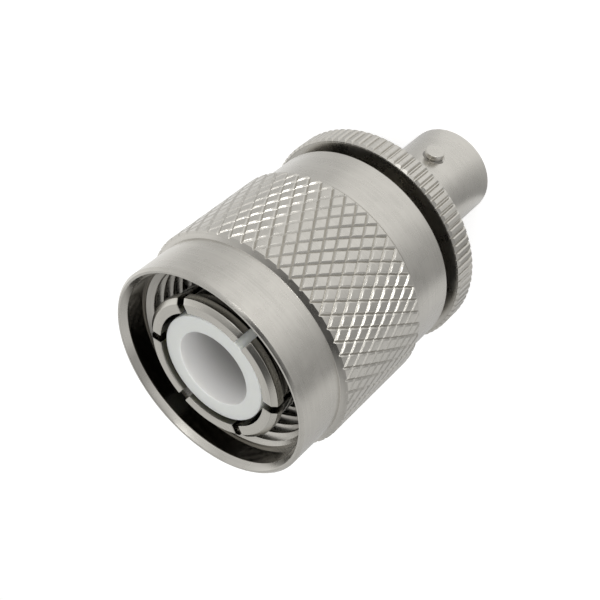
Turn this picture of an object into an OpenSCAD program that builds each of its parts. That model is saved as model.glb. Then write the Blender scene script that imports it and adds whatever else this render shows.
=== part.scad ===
// Coaxial adapter: a threaded coupling nut turns on a short body that ends in a bayonet jack.
// The bayonet mouth stands on z = 0 and the common axis is +Z, towards the threaded plug end.

/* [Bayonet jack] */
// Outside diameter of the bayonet barrel
barrel_d = 9.65; // [9:0.05:10.4]
// Wall of the bayonet barrel
barrel_wall = 0.775; // [0.6:0.005:1]
// Length of the barrel, from its mouth to the flange
barrel_len = 13.7; // [12:0.1:16]
// Depth of the barrel's cavity, from its mouth
barrel_depth = 8.4; // [7.5:0.1:9.5]
// Radius of the rounded outer edge of the mouth
mouth_round = 0.45; // [0.2:0.05:0.5]
// Chamfer on the inner edge of the mouth
mouth_chamfer = 0.15; // [0.05:0.05:0.25]
// Diameter of each bayonet lug
lug_d = 1.95; // [1.7:0.05:2.2]
// Height of each lug above the barrel
lug_height = 0.675; // [0.5:0.005:0.9]
// Distance from the mouth to the middle of the lugs
lug_from_mouth = 5.1; // [4.5:0.1:6]
// Chamfer round the top of each lug
lug_chamfer = 0.1; // [0.05:0.05:0.2]

/* [Flange] */
// Thickness of the grip flange
flange_len = 2.4; // [1.8:0.1:4]
// Spacing of the straight teeth round the flange
tooth_pitch = 0.8; // [0.6:0.05:1.2]
// Depth of the straight teeth
tooth_depth = 0.2; // [0.1:0.02:0.3]
// Share of the tooth spacing that is flat top
tooth_flat = 0.56; // [0.3:0.02:0.7]
// Share of the tooth spacing that the foot of a tooth takes
tooth_foot = 0.86; // [0.6:0.02:0.96]
// Chamfer on both edges of the flange
flange_chamfer = 0.25; // [0.1:0.05:0.4]

/* [Coupling nut] */
// Open gap between the flange and the nut
nut_gap = 1.2; // [0.6:0.1:2]
// Diameter over the crests of the inner thread
thread_crest_d = 17.8; // [17.6:0.05:18.2]
// Depth of the inner thread
thread_depth = 0.65; // [0.5:0.01:0.7]
// Spacing of the thread's turns
thread_pitch = 1.27; // [1.2:0.01:1.3]
// Share of the spacing that is flat crest
thread_flat = 0.25; // [0.15:0.01:0.35]
// Length of the inner thread with the cones at its ends
thread_len = 8.35; // [5:0.05:9]
// Height of the cone at each end of the thread
thread_mouth = 0.55; // [0.3:0.05:0.6]
// Step from the crests to the plain bores beside the thread
bore_step = 0.85; // [0.7:0.05:1]
// Depth of the plain bore in front of the thread
rim_bore_len = 2.7; // [1.5:0.1:4]
// Length of the plain bore behind the thread
relief_len = 2.75; // [2:0.05:4]
// Room between the neck's front and that bore's end when the nut is slid forwards
relief_gap = 0.2; // [0.1:0.05:0.4]
// Wall of the plain collar at the open end
rim_wall = 0.85; // [0.6:0.05:1.2]
// Length of the plain collar
collar_len = 4.3; // [3:0.1:6]
// Length of the step between the collar and the full knurl
shoulder_len = 1.1; // [0.6:0.1:2]
// Height of the knurl above the collar
knurl_rise = 0.6; // [0.4:0.05:0.9]
// Spacing of the knurl's diamonds round the nut
knurl_pitch = 1.3; // [1:0.05:2]
// Depth of the knurl's grooves
knurl_depth = 0.16; // [0.1:0.02:0.3]
// How far the nut's core stays below the knurl's grooves
knurl_sink = 0.07; // [0.04:0.01:0.12]
// Share of each diamond that is flat top
knurl_flat = 0.74; // [0.5:0.02:0.85]
// Length of the cone at each end of the knurl, down to the nut's core
knurl_end_len = 0.31; // [0.2:0.01:0.6]
// Plain strip of the core between that cone and the next one
knurl_land = 0.06; // [0.03:0.01:0.2]
// Depth of the plain band below the knurl
band_drop = 0.55; // [0.4:0.05:0.8]
// Length of the plain band behind the knurl
band_len = 4.85; // [3:0.05:8]
// Length of the step between the band and the full knurl
band_shoulder_len = 0.8; // [0.6:0.1:1.2]
// Chamfer at the back edge of the nut
band_chamfer = 0.25; // [0.1:0.05:0.5]
// Radius of the rounded rim at the open end
rim_round = 0.35; // [0.1:0.05:0.45]
// Chamfer on the inner edge of the rim
rim_chamfer = 0.12; // [0.05:0.01:0.2]

/* [Front body] */
// How far the neck that the nut turns on lies inside the thread's crests
neck_under = 0.15; // [0.1:0.01:0.3]
// Length of the neck, from the flange to the gasket
neck_len = 9.9; // [9:0.1:11]
// Chamfer round the front of the neck
neck_chamfer = 0.3; // [0.1:0.05:0.5]
// Clearance all round between the nut and what it turns on
run_fit = 0.05; // [0.02:0.01:0.09]
// Clearance all round between pieces that are pushed together
seat_fit = 0.02; // [0.01:0.01:0.04]
// Length of the spigot that joins the two halves of the body
spigot_len = 3.5; // [3:0.1:4]

/* [Retaining ring] */
// Thickness of the retaining ring
ring_t = 0.9; // [0.6:0.05:1.1]
// How far the ring reaches into the body's groove
ring_in_body = 0.7; // [0.5:0.05:0.9]
// How far the ring reaches into the nut's groove
ring_in_nut = 0.6; // [0.4:0.05:0.8]
// Width of the gap in the ring
ring_gap = 1.6; // [1:0.1:3]
// Thickness of the nut's wall behind the ring
ring_web = 1.2; // [0.8:0.05:1.4]
// How far the nut can slide forwards on the body
nut_play = 0.4; // [0.2:0.05:0.5]

/* [Gasket] */
// Thickness of the gasket
gasket_t = 1.2; // [0.8:0.1:1.8]
// Clearance round the outside of the gasket
gasket_edge = 0.15; // [0.05:0.05:0.3]

/* [Outer contact] */
// Wall of the neck round the contact's base
seat_wall = 1.35; // [1.1:0.05:1.6]
// Step from the contact's base to its fingers
base_step = 0.45; // [0.3:0.05:0.7]
// Gap between the spigot and the contact's base
base_gap = 0.8; // [0.4:0.1:1.5]
// Wall of the fingers
finger_wall = 1.2; // [0.9:0.05:1.4]
// Width of the ledge in the neck that the contact's base stands on
ledge_w = 1.2; // [0.8:0.05:1.4]
// Height of the bulge at the fingers' tips
bulge_rise = 0.4; // [0.2:0.05:0.42]
// Length of the bulge
bulge_len = 1.5; // [1:0.1:2.5]
// Length of the slope behind the bulge
bulge_back_len = 0.8; // [0.4:0.1:1.5]
// Chamfer at the fingers' tips
tip_chamfer = 0.25; // [0.1:0.05:0.4]
// Number of slots in the outer contact, an even number
finger_slots = 6; // [4:2:8]
// Width of each slot
slot_w = 0.85; // [0.5:0.05:1.2]
// Length of each slot
slot_len = 9; // [7:0.1:10]
// Turn of the slots about the axis, from the lugs, in degrees
slot_turn = 36; // [0:1:59]
// How far the contact's front face lies behind the nut's rim
finger_recess = 0.95; // [0.4:0.05:2]

/* [Insulators] */
// Gap between the fingers and the front insulating sleeve
sleeve_gap = 0.35; // [0.2:0.05:0.6]
// Wall of the front insulating sleeve
sleeve_wall = 1.63; // [1.4:0.01:1.8]
// Depth of the bore of the front insulating sleeve
sleeve_bore_len = 11; // [8:0.1:12]
// How far the sleeve's front face lies behind the nut's rim
sleeve_recess = 0.95; // [0.4:0.05:2]
// Diameter of the bayonet end's insulator in the cavity
stem_d = 4.75; // [4.4:0.05:5]
// How far the bayonet end's insulator lies behind the mouth
stem_recess = 3.4; // [3:0.1:4.2]
// Diameter of the bayonet end's insulator inside the body
plug_d = 6.4; // [6:0.1:7]
// Thickness of the metal floor that holds the insulator
floor_t = 0.8; // [0.5:0.1:1.2]

/* [Centre conductor] */
// Diameter of the male pin
pin_d = 2.36; // [2.2:0.02:2.5]
// How far the pin's tip lies behind the sleeve's front face
pin_recess = 4.6; // [4.3:0.1:6]
// Radius of the pin's rounded tip
pin_round = 0.7; // [0.3:0.05:1]
// Diameter of the pin's collar
pin_collar_d = 4; // [3.4:0.1:5]
// Thickness of the pin's collar
pin_collar_len = 1.6; // [1:0.1:2.5]
// Diameter of the tenon that joins the pin to the socket
tenon_d = 1; // [0.8:0.05:1.2]
// Length of the tenon that joins the pin to the socket
tenon_len = 2.2; // [1.5:0.1:3]
// Diameter of the socket contact inside the insulator's tip
socket_d = 2.1; // [2:0.02:2.2]
// Diameter of the socket contact inside the body
socket_base_d = 2.7; // [2.4:0.05:3]
// Length of the socket's thin part
socket_thin_len = 6.25; // [5.8:0.05:7]
// Bore of the socket contact
socket_bore_d = 1.38; // [1.34:0.01:1.44]
// Depth of the socket's bore
socket_bore_len = 5.5; // [5:0.1:6]
// Chamfer where the socket's bore opens
socket_lead = 0.15; // [0.05:0.05:0.25]
// How far the socket lies behind the insulator's front face
socket_recess = 0.15; // [0.05:0.05:0.4]
// Width of the slots in the socket contact
socket_slot_w = 0.2; // [0.1:0.02:0.24]
// Length of the slots in the socket contact
socket_slot_len = 4.2; // [3:0.1:5]

/* [Hidden] */
$fn = 96;
// Overshoot of a cut past the face that it opens
cut = 0.5;

// Radii from the thread outwards, which set the nut and the flange
crest_r = thread_crest_d / 2;
bore_r = crest_r + bore_step;
collar_r = bore_r + rim_wall;
knurl_r = collar_r + knurl_rise;
band_r = knurl_r - band_drop;
core_r = knurl_r - knurl_depth - knurl_sink;
flange_r = knurl_r;
// The knurl and the thread are rings that reach this far into the nut's wall
hold = (core_r - bore_r) * 0.3;

// Radii from the thread inwards, which set the body and the contact
neck_r = crest_r - neck_under;
nut_bore_r = neck_r + run_fit;
ring_in_r = neck_r - ring_in_body;
ring_out_r = nut_bore_r + ring_in_nut;
base_r = neck_r - seat_wall;
spigot_r = base_r - ledge_w;
finger_r = base_r - base_step;
bulge_r = finger_r + bulge_rise;
finger_bore_r = finger_r - finger_wall;
sleeve_r = finger_bore_r - sleeve_gap;
sleeve_bore_r = sleeve_r - sleeve_wall;
barrel_bore_r = barrel_d / 2 - barrel_wall;

// Heights along the axis, from the mouth of the barrel
flange_z = barrel_len;
neck_z = flange_z + flange_len;
nut_z = neck_z + nut_gap;
spigot_z = neck_z + spigot_len;
seat_z = neck_z + neck_len;
base_z = spigot_z + base_gap;
gasket_z = seat_z + gasket_t;
ring_z = nut_z + ring_web;
relief_z = seat_z - nut_play - relief_gap;
thread_z = relief_z + relief_len;
thread_top_z = thread_z + thread_len;
rim_z = thread_top_z + rim_bore_len;
knurl_z = nut_z + band_len + band_shoulder_len;
knurl_top_z = rim_z - collar_len - shoulder_len;
finger_z = rim_z - finger_recess;
sleeve_z = rim_z - sleeve_recess;
sleeve_floor_z = sleeve_z - sleeve_bore_len;
pin_z = sleeve_z - pin_recess;
floor_z = barrel_depth + floor_t;
socket_z = stem_recess + socket_recess;
socket_step_z = socket_z + socket_thin_len;

// A point of the knurl, at an angle, a radius and a height
function at(a, r, z) = [r * cos(a), r * sin(a), z];

// Diamond knurl as one ring: diamonds stand in rows, each row half a diamond round from the last.
// Grooves cross at low points between the diamonds. Each diamond has four low corners, which it
// shares with its neighbours, and four high corners of its own, drawn in towards its middle.
// The rows at both ends are cut by a cone, which ends at a foot inside the core that carries the ring.
module diamond_knurl(d, len, pitch, depth, flat, end_len, sink, bore_r) {
    n = round(PI * d / pitch);
    step = 360 / n;
    // Grooves at 30 degrees to the axis make a diamond 1.73 times as long as it is wide
    rows = 2 * round(len / (PI * d / n * sqrt(3)));
    h = len / rows;
    low_r = d / 2 - depth;
    top_r = d / 2;
    foot_r = low_r - 2 * sink;
    // How far the end cone has run where it reaches a radius
    run = function(r) (top_r - r) * end_len / (depth + sink);
    shift = function(i) (i % 2) / 2;
    low = [for (i = [0:rows], j = [0:n - 1]) at((j + 0.5 + shift(i)) * step, low_r, i * h)];
    side = flat * step / 2;
    high = [for (i = [0:rows], j = [0:n - 1])
        let (a = (j + shift(i)) * step, z = i * h)
        each [at(a - side, top_r, z), at(a + side, top_r, z),
              at(a, top_r, min(z + flat * h, len)), at(a, top_r, max(z - flat * h, 0))]];
    rims = [for (r = [low_r, foot_r], z = [-run(r), len + run(r)], j = [0:n - 1]) at((j + 0.5) * step, r, z)];
    inner = [for (z = [-run(foot_r), len + run(foot_r)], j = [0:n - 1]) at(j * step, bore_r, z)];
    base_high = (rows + 1) * n;
    base_rim = 5 * base_high;
    // Numbers of the low points, and of the left, right, upper and lower high points of diamond i, j
    lo = function(i, j) i * n + (j + n) % n;
    hi = function(i, j, k) base_high + (i * n + j % n) * 4 + k;
    // Numbers on the end cones, at their lower end (e = 0) or upper end (e = 1), and in the bore
    rim = function(e, j) base_rim + e * n + (j + n) % n;
    foot = function(e, j) rim(e + 2, j);
    in = function(e, j) rim(e + 4, j);
    odd = function(i) i % 2;
    upper = [for (i = [0:rows - 1], j = [0:n - 1])
        let (l = lo(i, j - 1), r = lo(i, j), t = lo(i + 1, j + odd(i) - 1))
        each [[hi(i, j, 0), hi(i, j, 1), hi(i, j, 2)],
              [l, hi(i, j, 0), hi(i, j, 2), t], [hi(i, j, 1), r, t, hi(i, j, 2)]]];
    lower = [for (i = [1:rows], j = [0:n - 1])
        let (l = lo(i, j - 1), r = lo(i, j), b = lo(i - 1, j + odd(i) - 1))
        each [[hi(i, j, 1), hi(i, j, 0), hi(i, j, 3)],
              [hi(i, j, 0), l, b, hi(i, j, 3)], [r, hi(i, j, 1), hi(i, j, 3), b]]];
    bottom = [for (j = [0:n - 1])
        each [[rim(0, j), hi(0, j, 1), lo(0, j)], [lo(0, j - 1), hi(0, j, 0), rim(0, j - 1)],
              [rim(0, j), rim(0, j - 1), hi(0, j, 0), hi(0, j, 1)],
              [foot(0, j), foot(0, j - 1), rim(0, j - 1), rim(0, j)],
              [in(0, j + 1), in(0, j), foot(0, j - 1), foot(0, j)]]];
    top = [for (j = [0:n - 1])
        each [[rim(1, j), lo(rows, j), hi(rows, j, 1)], [lo(rows, j - 1), rim(1, j - 1), hi(rows, j, 0)],
              [rim(1, j - 1), rim(1, j), hi(rows, j, 1), hi(rows, j, 0)],
              [foot(1, j - 1), foot(1, j), rim(1, j), rim(1, j - 1)],
              [in(1, j), in(1, j + 1), foot(1, j), foot(1, j - 1)]]];
    wall = [for (j = [0:n - 1]) [in(0, j), in(0, j + 1), in(1, j + 1), in(1, j)]];
    polyhedron(concat(low, high, rims, inner), concat(upper, lower, bottom, top, wall), convexity = 4);
}

// Inner thread as one tube. Its rows of points follow the helix, four rows a turn: the two edges of the
// crest and the two edges of the root. A row that would pass an end of the tube is held at that end.
module thread_ring(z0, z1, crest_r, depth, pitch, flat, mouth, outer_r) {
    n = 72;
    flank = depth * tan(30);
    half = flat * pitch / 2;
    edges = [-half, half, half + flank, pitch - half - flank];
    // Two spare turns below the tube and one above
    rows = 4 * (ceil((z1 - z0) / pitch) + 3);
    lift = function(j) pitch * j / n;
    height = function(i, j) z0 + (floor(i / 4) - 2) * pitch + edges[i % 4] + lift(j);
    // Distance along the axis from the middle of the nearest crest
    off = function(z, j) let (s = (z - z0 - lift(j)) / pitch + 0.5) pitch * abs(s - floor(s) - 0.5);
    cone = function(z) crest_r + mouth - min(z - z0, z1 - z);
    radius = function(z, j)
        max(crest_r + depth * min(1, max(0, (off(z, j) - half) / flank)), cone(z));
    point = function(z, j) at(j * 360 / n, radius(z, j), z);
    grid = [for (i = [0:rows - 1], j = [0:n - 1]) point(min(z1, max(z0, height(i, j))), j)];
    ends = [for (z = [z0, z1], j = [0:n - 1]) point(z, j)];
    outer = [for (z = [z0, z1], j = [0:n - 1]) at(j * 360 / n, outer_r, z)];
    end = function(e, j) rows * n + e * n + j % n;
    out = function(e, j) rows * n + (2 + e) * n + j % n;
    // Number of the point in row i and column j. Column n is column 0, one turn on
    id = function(i, j) height(i, j) <= z0 ? end(0, j) : height(i, j) >= z1 ? end(1, j)
        : j == n ? (i + 4) * n : i * n + j;
    surface = [for (i = [0:rows - 2], j = [0:n - 1])
        let (a = id(i, j), b = id(i, j + 1), c = id(i + 1, j + 1), d = id(i + 1, j))
        each [[a, b, c], [a, c, d]]];
    thread = [for (t = surface) if (t[0] != t[1] && t[1] != t[2] && t[2] != t[0]) t];
    walls = [for (j = [0:n - 1])
        each [[end(0, j + 1), end(0, j), out(0, j), out(0, j + 1)],
              [end(1, j), end(1, j + 1), out(1, j + 1), out(1, j)],
              [out(0, j + 1), out(0, j), out(1, j), out(1, j + 1)]]];
    polyhedron(concat(grid, ends, outer), concat(thread, walls), convexity = 8);
}

// Nut's section in radius and height: up the outside, then down the bore. The groove in the bore is
// filled by the thread's ring
module nut_section() {
    groove_r = bore_r + hold / 2;
    difference() {
        union() {
            polygon([
                [nut_bore_r, nut_z],
                [band_r - band_chamfer, nut_z],
                [band_r, nut_z + band_chamfer],
                [band_r, knurl_z - band_shoulder_len],
                [core_r, knurl_z - knurl_end_len - knurl_land],
                [core_r, knurl_top_z + knurl_end_len + knurl_land],
                [collar_r, knurl_top_z + shoulder_len],
                [collar_r, rim_z - rim_round],
                [collar_r - rim_round, rim_z],
                [bore_r + rim_chamfer, rim_z],
                [bore_r, rim_z - rim_chamfer],
                [bore_r, thread_top_z - hold],
                [groove_r, thread_top_z - hold],
                [groove_r, thread_z + hold],
                [bore_r, thread_z + hold],
                [bore_r, relief_z],
                [nut_bore_r, relief_z]
            ]);
            translate([collar_r - rim_round, rim_z - rim_round]) circle(rim_round);
        }
        translate([0, ring_z - seat_fit]) square([ring_out_r + run_fit, ring_t + 2 * seat_fit]);
    }
}

module coupling_nut() {
    color([0.75, 0.73, 0.7]) union() {
        rotate_extrude() nut_section();
        thread_ring(thread_z, thread_top_z, crest_r, thread_depth, thread_pitch, thread_flat, thread_mouth,
            bore_r + hold);
        translate([0, 0, knurl_z])
            diamond_knurl(2 * knurl_r, knurl_top_z - knurl_z, knurl_pitch, knurl_depth, knurl_flat,
                knurl_end_len, knurl_sink, core_r - hold);
    }
}

module retaining_ring() {
    color([0.8, 0.62, 0.35]) difference() {
        translate([0, 0, ring_z]) cylinder(ring_t, r = ring_out_r);
        translate([0, 0, ring_z - cut]) cylinder(ring_t + 2 * cut, r = ring_in_r);
        translate([0, -ring_gap / 2, ring_z - cut]) cube([ring_out_r + cut, ring_gap, ring_t + 2 * cut]);
    }
}

module gasket() {
    color([0.55, 0.2, 0.16]) translate([0, 0, seat_z]) difference() {
        cylinder(gasket_t, r = neck_r - gasket_edge);
        translate([0, 0, -cut]) cylinder(gasket_t + 2 * cut, r = base_r + seat_fit);
    }
}

module front_body() {
    color([0.72, 0.7, 0.67]) rotate_extrude() polygon([
        [spigot_r + seat_fit, neck_z],
        [neck_r, neck_z],
        [neck_r, ring_z - seat_fit],
        [ring_in_r - run_fit, ring_z - seat_fit],
        [ring_in_r - run_fit, ring_z + ring_t + nut_play + seat_fit],
        [neck_r, ring_z + ring_t + nut_play + seat_fit],
        [neck_r, seat_z - neck_chamfer],
        [neck_r - neck_chamfer, seat_z],
        [base_r + seat_fit, seat_z],
        [base_r + seat_fit, base_z],
        [spigot_r + seat_fit, base_z]
    ]);
}

// Spring sleeve with a bulge at its tip, sawn across into equal fingers
module outer_contact() {
    bulge_z = finger_z - tip_chamfer - bulge_len;
    color([0.8, 0.78, 0.74]) difference() {
        rotate_extrude() polygon([
            [finger_bore_r, base_z],
            [base_r, base_z],
            [base_r, gasket_z],
            [finger_r, gasket_z + base_step],
            [finger_r, bulge_z - bulge_back_len],
            [bulge_r, bulge_z],
            [bulge_r, finger_z - tip_chamfer],
            [bulge_r - tip_chamfer, finger_z],
            [finger_bore_r, finger_z]
        ]);
        for (k = [0:finger_slots / 2 - 1])
            rotate([0, 0, slot_turn + k * 360 / finger_slots])
                translate([-2 * bulge_r, -slot_w / 2, finger_z - slot_len])
                    cube([4 * bulge_r, slot_w, slot_len + cut]);
    }
}

module front_insulator() {
    foot_r = finger_bore_r - seat_fit;
    color([0.93, 0.94, 0.92]) rotate_extrude() polygon([
        [pin_collar_d / 2 + seat_fit, spigot_z],
        [foot_r, spigot_z],
        [foot_r, gasket_z],
        [sleeve_r, gasket_z + foot_r - sleeve_r],
        [sleeve_r, sleeve_z],
        [sleeve_bore_r, sleeve_z],
        [sleeve_bore_r, sleeve_floor_z],
        [pin_d / 2 + seat_fit, sleeve_floor_z],
        [pin_d / 2 + seat_fit, spigot_z + pin_collar_len],
        [pin_collar_d / 2 + seat_fit, spigot_z + pin_collar_len]
    ]);
}

// Rounded tip of the pin: a cylinder whose edge is a quarter circle
module pin_section() {
    square([pin_d / 2, pin_z - pin_round - spigot_z]);
    square([pin_d / 2 - pin_round, pin_z - spigot_z]);
    translate([pin_d / 2 - pin_round, pin_z - pin_round - spigot_z])
        intersection() {
            circle(pin_round);
            square(pin_round);
        }
}

module male_pin() {
    color([0.85, 0.7, 0.4]) translate([0, 0, spigot_z]) {
        rotate_extrude() pin_section();
        cylinder(pin_collar_len, d = pin_collar_d);
        translate([0, 0, -tenon_len]) cylinder(tenon_len + cut, d = tenon_d);
    }
}

// Straight teeth round the flange, as one outline
module toothed_disc() {
    n = round(2 * PI * flange_r / tooth_pitch);
    step = 360 / n;
    top = tooth_flat * step / 2;
    foot = tooth_foot * step / 2;
    polygon([for (i = [0:n - 1], p = [[-foot, tooth_depth], [-top, 0], [top, 0], [foot, tooth_depth]])
        (flange_r - p[1]) * [cos(i * step + p[0]), sin(i * step + p[0])]]);
}

module flange() {
    edge_r = flange_r - flange_chamfer;
    translate([0, 0, flange_z]) intersection() {
        linear_extrude(flange_len) toothed_disc();
        rotate_extrude() polygon([
            [0, 0], [edge_r, 0], [edge_r + 2 * flange_chamfer, 2 * flange_chamfer],
            [edge_r + 2 * flange_chamfer, flange_len - 2 * flange_chamfer], [edge_r, flange_len],
            [0, flange_len]
        ]);
    }
}

// Barrel with its rounded mouth, as half a section
module barrel_section() {
    square([barrel_d / 2 - mouth_round, flange_z + cut]);
    translate([0, mouth_round]) square([barrel_d / 2, flange_z + cut - mouth_round]);
    translate([barrel_d / 2 - mouth_round, mouth_round]) circle(mouth_round);
}

// One lug on each side of the barrel, each with a chamfered flat top
module lugs() {
    top = barrel_d / 2 + lug_height;
    for (side = [0, 180])
        rotate([0, 0, side]) translate([0, 0, lug_from_mouth]) rotate([0, 90, 0]) {
            cylinder(top - lug_chamfer, d = lug_d);
            translate([0, 0, top - lug_chamfer])
                cylinder(lug_chamfer, lug_d / 2, lug_d / 2 - lug_chamfer);
        }
}

module rear_body() {
    stem_r = stem_d / 2 + seat_fit;
    plug_r = plug_d / 2 + seat_fit;
    color([0.74, 0.72, 0.69]) difference() {
        union() {
            rotate_extrude() barrel_section();
            lugs();
            flange();
            translate([0, 0, neck_z - cut]) cylinder(spigot_len + cut, r = spigot_r);
        }
        translate([0, 0, -cut]) cylinder(barrel_depth + cut, r = barrel_bore_r);
        translate([0, 0, -cut])
            cylinder(mouth_chamfer + cut, barrel_bore_r + mouth_chamfer + cut, barrel_bore_r);
        cylinder(floor_z + cut, r = stem_r);
        translate([0, 0, floor_z]) cylinder(spigot_z, r = plug_r);
    }
}

module rear_insulator() {
    color([0.93, 0.94, 0.92]) rotate_extrude() polygon([
        [socket_d / 2 + seat_fit, stem_recess],
        [stem_d / 2, stem_recess],
        [stem_d / 2, floor_z],
        [plug_d / 2, floor_z],
        [plug_d / 2, spigot_z],
        [socket_base_d / 2 + seat_fit, spigot_z],
        [socket_base_d / 2 + seat_fit, socket_step_z],
        [socket_d / 2 + seat_fit, socket_step_z]
    ]);
}

module socket_contact() {
    color([0.85, 0.7, 0.4]) difference() {
        union() {
            translate([0, 0, socket_z]) cylinder(spigot_z - socket_z, d = socket_d);
            translate([0, 0, socket_step_z]) cylinder(spigot_z - socket_step_z, d = socket_base_d);
        }
        translate([0, 0, socket_z - cut]) cylinder(socket_bore_len + cut, d = socket_bore_d);
        translate([0, 0, socket_z - socket_lead])
            cylinder(2 * socket_lead, socket_bore_d / 2 + 2 * socket_lead, socket_bore_d / 2);
        translate([0, 0, spigot_z - tenon_len]) cylinder(tenon_len + cut, d = tenon_d + 2 * seat_fit);
        for (turn = [0, 90])
            rotate([0, 0, turn]) translate([-socket_d, -socket_slot_w / 2, socket_z - cut])
                cube([2 * socket_d, socket_slot_w, socket_slot_len + cut]);
    }
}

coupling_nut();
retaining_ring();
gasket();
front_body();
outer_contact();
front_insulator();
male_pin();
rear_body();
rear_insulator();
socket_contact();
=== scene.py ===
# %% [markdown]
# # A coaxial adapter, dressed round its CAD part
# The real adapter is turned from brass bar, nickel plated and put together from ten pieces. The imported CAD
# part gives all ten at their true size and place, so nothing has to be fitted here. The pieces that show
# get finer meshes and a finish each, and the hidden ones keep the CAD's meshes. The tables below are in
# millimetres, as on a workshop drawing, and become metres when a mesh is made.

# %% Frame
import bpy, bmesh, math
import numpy as np
from mathutils import Matrix, Quaternion, Vector


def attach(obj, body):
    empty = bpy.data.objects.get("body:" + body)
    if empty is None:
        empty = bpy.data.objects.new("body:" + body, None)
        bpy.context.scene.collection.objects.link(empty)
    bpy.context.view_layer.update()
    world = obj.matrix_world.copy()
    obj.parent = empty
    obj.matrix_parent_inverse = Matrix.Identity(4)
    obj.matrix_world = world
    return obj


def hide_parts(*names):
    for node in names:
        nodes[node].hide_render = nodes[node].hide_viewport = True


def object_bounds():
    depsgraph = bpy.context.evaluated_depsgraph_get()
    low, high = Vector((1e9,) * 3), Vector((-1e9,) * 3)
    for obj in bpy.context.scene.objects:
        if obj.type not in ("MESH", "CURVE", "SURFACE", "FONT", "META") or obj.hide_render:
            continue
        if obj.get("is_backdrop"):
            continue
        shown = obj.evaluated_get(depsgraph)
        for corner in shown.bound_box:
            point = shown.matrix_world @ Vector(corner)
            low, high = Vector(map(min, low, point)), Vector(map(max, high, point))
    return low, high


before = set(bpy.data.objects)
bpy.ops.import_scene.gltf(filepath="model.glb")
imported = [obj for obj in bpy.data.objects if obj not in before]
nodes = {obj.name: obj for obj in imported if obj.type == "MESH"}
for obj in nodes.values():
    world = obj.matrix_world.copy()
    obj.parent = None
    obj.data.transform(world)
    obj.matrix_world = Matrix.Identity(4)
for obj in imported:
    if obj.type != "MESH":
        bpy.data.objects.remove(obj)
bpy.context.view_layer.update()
MM = 0.001
print("CAD nodes:", sorted(nodes))

# %% [markdown]
# ## Helpers
# A material, a world and a Geometry Nodes setup are all trees of nodes. One function adds a node, sets it
# and links it, so that each tree can be read from top to bottom. Colours are chosen as they look on a
# screen, in sRGB, but light adds up in linear values, so another function turns them.

# %% Helpers
WHITE = (1, 1, 1, 1)


def colour(code):
    """An sRGB hex code as a linear colour."""
    parts = [int(code[i:i + 2], 16) / 255 for i in (1, 3, 5)]
    return tuple(p / 12.92 if p <= 0.04045 else ((p + 0.055) / 1.055) ** 2.4 for p in parts) + (1.0,)


def add(tree, kind, inputs=None, out=0, **settings):
    """Adds a node with its settings. Inputs are values or other nodes' sockets. Gives one output back."""
    node = tree.nodes.new(kind)
    for key, value in settings.items():
        setattr(node, key, value)
    for key, value in (inputs or {}).items():
        if isinstance(value, bpy.types.NodeSocket):
            tree.links.new(value, node.inputs[key])
        else:
            node.inputs[key].default_value = value
    return node.outputs[out] if node.outputs else None


def new_object(name, data):
    """An object for a mesh, a lamp or a camera, linked into the scene."""
    made = bpy.data.objects.new(name, data)
    bpy.context.scene.collection.objects.link(made)
    return made


def toward(azimuth, elevation):
    """The direction of a lamp or a card as seen from the part, from two angles in degrees."""
    a, e = math.radians(azimuth), math.radians(elevation)
    return Vector((math.cos(a) * math.cos(e), math.sin(a) * math.cos(e), math.sin(e)))


print("white in linear values:", colour("#FFFFFF"))

# %% [markdown]
# ## Camera
# The photograph looks down on the open nut from close by, about 100 mm in this frame. Turning a camera by
# eye until the picture fits takes long and leaves the depth wrong. Here the place, the aim, the lens and the
# roll come from a pinhole camera fitted to the adapter's outline and to the circles inside the nut.

# %% Camera
CAMERA = Vector((75.262, -35.095, 87.578)) * MM
AIM = Vector((-0.136, -0.295, 26.306)) * MM
LENS, SENSOR = 66.92, 36
ROLL = -130.294
NEAREST, FARTHEST = 0.001, 10

camera = new_object("camera", bpy.data.cameras.new("camera"))
camera.data.sensor_width = SENSOR
camera.data.lens = LENS
camera.data.clip_start, camera.data.clip_end = NEAREST, FARTHEST
camera.location = CAMERA
camera.rotation_mode = "QUATERNION"
facing = (CAMERA - AIM).to_track_quat("Z", "Y")
camera.rotation_quaternion = facing @ Quaternion((0, 0, 1), math.radians(ROLL))
bpy.context.scene.camera = camera
bpy.context.scene.view_settings.view_transform = "Standard"
print("camera distance", round((CAMERA - AIM).length / MM, 1), "mm")

# %% [markdown]
# ## Tent of panels
# Plated metal has little colour of its own: it shows what stands round it. In the photograph that looks
# like a white tent with darker and lighter sides, and each side shows as a band along the nut and barrel.
# Real panels could be modelled, but a curve of brightness over the angle round the part gives the same
# bands, renders faster and is easy to tune. The world and the floor both use it.

# %% Panels
BRIGHTEST = 1.2
# Angle round the axis in degrees, and the brightness seen there
PANELS = [(-180, 0.8), (-165, 0.6), (-145, 0.64), (-125, 0.7), (-106, 0.78), (-90, 0.42), (-75, 0.47),
          (-62, 0.57), (-45, 0.8), (-25, 1.03), (0, 1.05), (18, 1.02), (35, 0.84), (55, 0.74), (75, 0.78),
          (95, 0.97), (115, 1.1), (150, 1.1), (180, 0.8)]


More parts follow.
